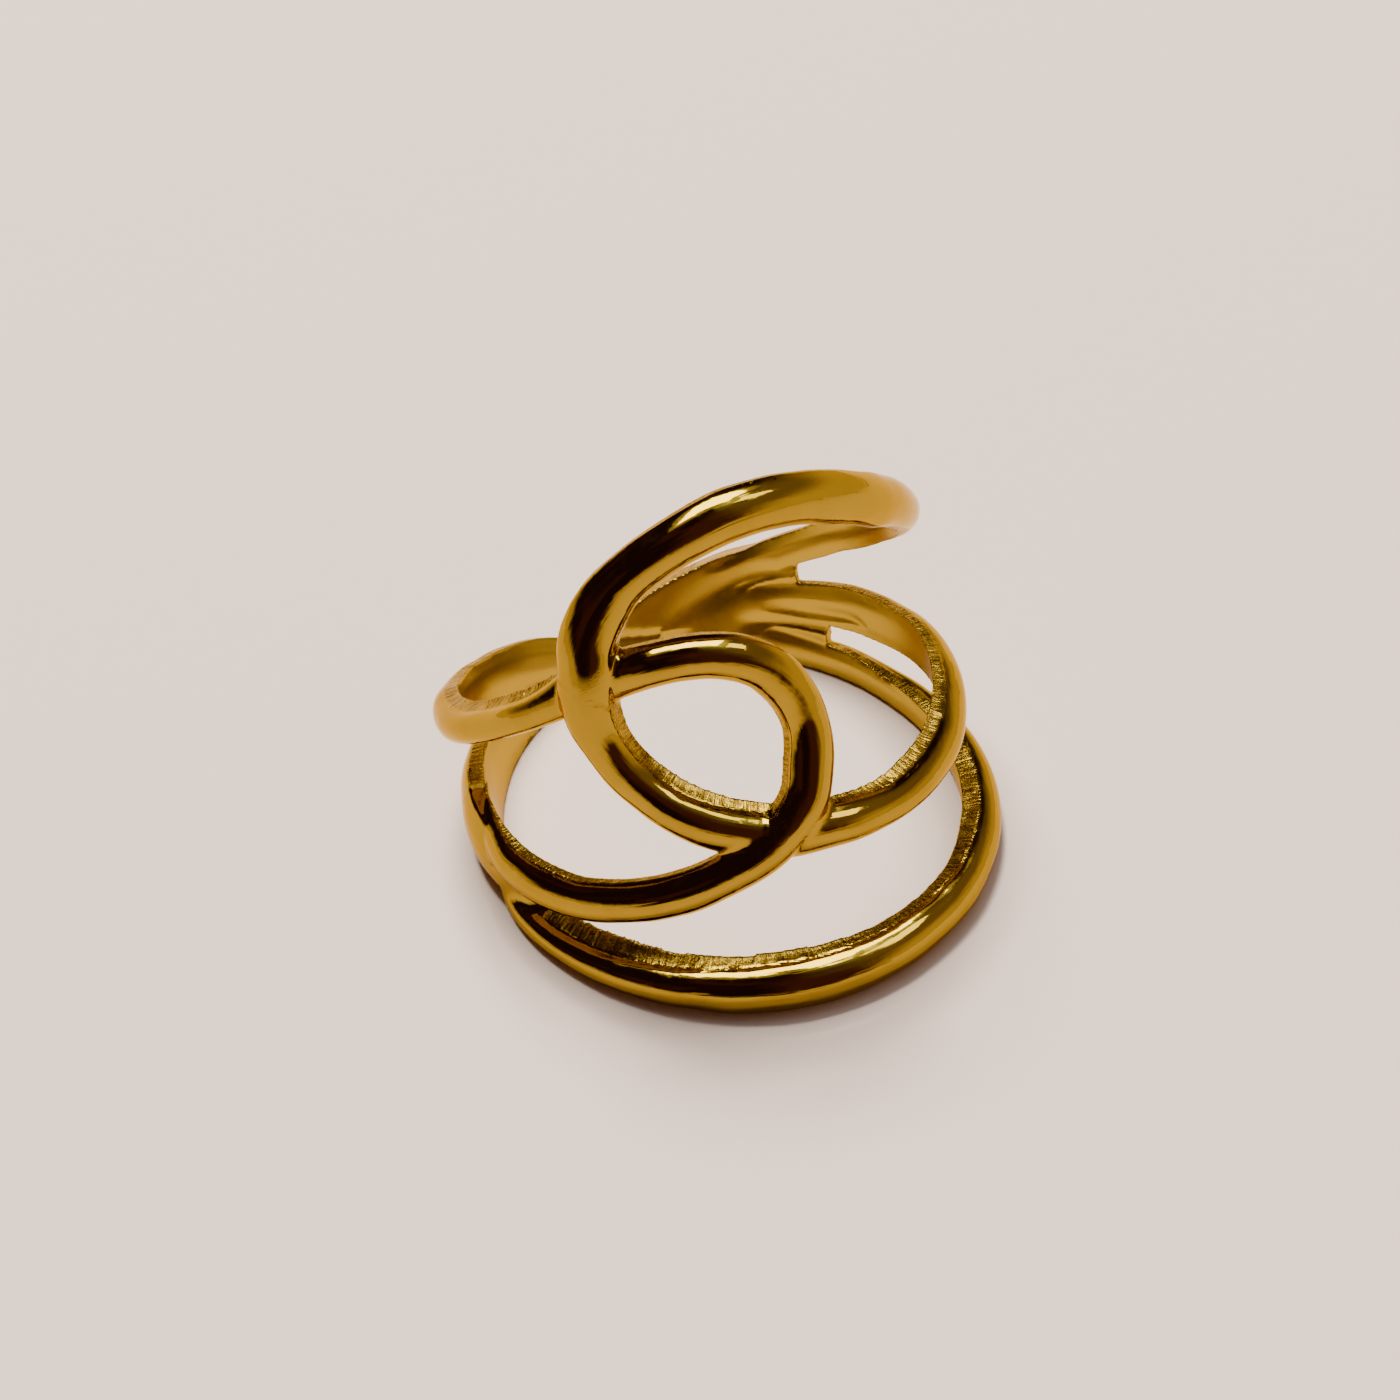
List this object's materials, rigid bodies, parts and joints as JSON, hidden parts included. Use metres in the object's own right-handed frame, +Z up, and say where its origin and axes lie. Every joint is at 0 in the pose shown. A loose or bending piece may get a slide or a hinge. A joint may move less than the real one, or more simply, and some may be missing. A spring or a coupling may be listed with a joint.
{
  "type": "statement ring",
  "caption": "Openwork statement ring cast in one piece: a loop and a crossing strand form a loose knot over a slim base band.",
  "frame": {"origin": "middle of the ring's footprint, on the surface that it lies on", "axes": "+Z up as the ring lies, -Y towards the side with the knot, +X to its right; the finger axis leans 26.6 degrees from +Z, away from the knot and a little to the left"},
  "size_m": [0.0216, 0.0228, 0.0176],
  "materials": {
    "polished_gold": "polished gold colour"
  },
  "bodies": {
    "root": {"knot_ring": "polished_gold"}
  },
  "joints": []
}
